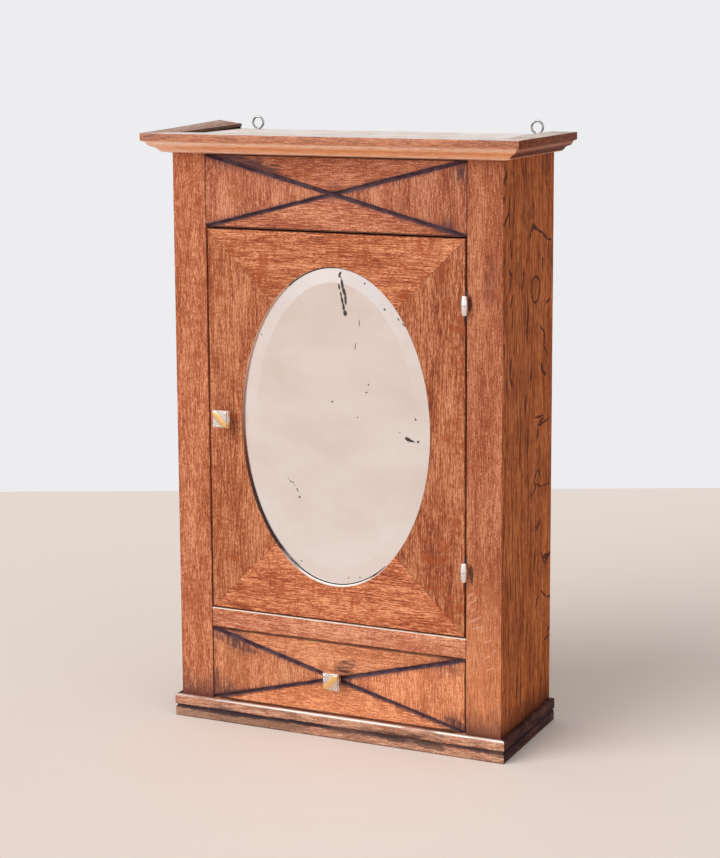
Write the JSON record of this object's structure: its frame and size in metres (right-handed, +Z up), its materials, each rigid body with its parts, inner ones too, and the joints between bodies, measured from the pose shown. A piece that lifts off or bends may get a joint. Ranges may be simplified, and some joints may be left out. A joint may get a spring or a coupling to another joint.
{
  "type": "medicine cabinet",
  "caption": "Oak wall medicine cabinet with a hinged oval mirror door, a drawer below it, a cornice, a plinth and screw eyes to hang it by.",
  "frame": {"origin": "on the floor under the middle of the whole cabinet, half-way between the cornice's front edge and the back", "axes": "+Z up, the front with its door faces -Y, +X to the right seen from the front; the hinges are on the +X side"},
  "size_m": [0.398, 0.1624, 0.6113],
  "materials": {
    "oak_front": "stained oak, old shellac, satin",
    "oak_facing": "stained oak, old shellac, satin, dark stain in the grooves",
    "oak_side": "quarter-sawn stained oak with ray flecks, satin",
    "oak_inside": "plain oiled wood",
    "dusty_top": "bare dusty wood",
    "thin_board": "thin raw board",
    "mirror": "old bevelled mirror with spots where the silver has gone",
    "hinge_nickel": "worn nickel plate",
    "knob_brass": "worn polished brass",
    "steel": "dull steel"
  },
  "bodies": {
    "cabinet": {"side_left": "oak_side", "side_right": "oak_side", "stile_left": "oak_front", "stile_right": "oak_front", "frieze_core": "oak_facing", "frieze_facing_top": "oak_facing", "frieze_facing_bottom": "oak_facing", "frieze_facing_left": "oak_facing", "frieze_facing_right": "oak_facing", "mid_rail": "oak_front", "bottom_rail": "oak_front", "cupboard_floor": "oak_inside", "bottom_panel": "oak_inside", "top_panel": "dusty_top", "back_panel": "thin_board", "back_nails": "steel", "cornice_front": "oak_front", "cornice_left": "oak_side", "cornice_right": "oak_side", "plinth_front": "oak_front", "plinth_left": "oak_side", "plinth_right": "oak_side", "shelf_upper": "oak_inside", "shelf_lower": "oak_inside", "shelf_cleats": "oak_inside", "door_stops": "oak_inside", "drawer_guides": "oak_inside", "screw_eye_left": "steel", "screw_eye_right": "steel", "hinge_case_leaf_upper": "hinge_nickel", "hinge_case_leaf_lower": "hinge_nickel", "hinge_pins": "steel", "hinge_screws_case": "steel"},
    "door": {"door_board_top": "oak_front", "door_board_bottom": "oak_front", "door_board_left": "oak_front", "door_board_right": "oak_front", "mirror_glass": "mirror", "mirror_backing": "thin_board", "mirror_sprigs": "steel", "hinge_door_leaf_upper": "hinge_nickel", "hinge_door_leaf_lower": "hinge_nickel", "hinge_screws_door": "steel"},
    "latch": {"door_knob": "knob_brass", "door_knob_spindle": "knob_brass", "latch_tongue": "steel", "latch_nut": "steel"},
    "drawer": {"drawer_front": "oak_facing", "drawer_facing_top": "oak_facing", "drawer_facing_bottom": "oak_facing", "drawer_facing_left": "oak_facing", "drawer_facing_right": "oak_facing", "drawer_side_left": "oak_inside", "drawer_side_right": "oak_inside", "drawer_back": "oak_inside", "drawer_bottom": "thin_board", "drawer_knob": "knob_brass", "drawer_knob_bolt": "knob_brass", "drawer_knob_nut": "steel"}
  },
  "joints": [
    {"name": "door_swing", "type": "hinge", "parent": "cabinet", "child": "door", "pos_m": [0.13845, -0.06205, 0.313], "axis": [0, 0, 1], "range_deg": [0, 170]},
    {"name": "knob_turn", "type": "hinge", "parent": "door", "child": "latch", "pos_m": [-0.1197, -0.07175, 0.3168], "axis": [0, 1, 0], "range_deg": [0, 90]},
    {"name": "drawer_slide", "type": "slide", "parent": "cabinet", "child": "drawer", "axis": [0, -1, 0], "range_m": [0, 0.1]}
  ]
}
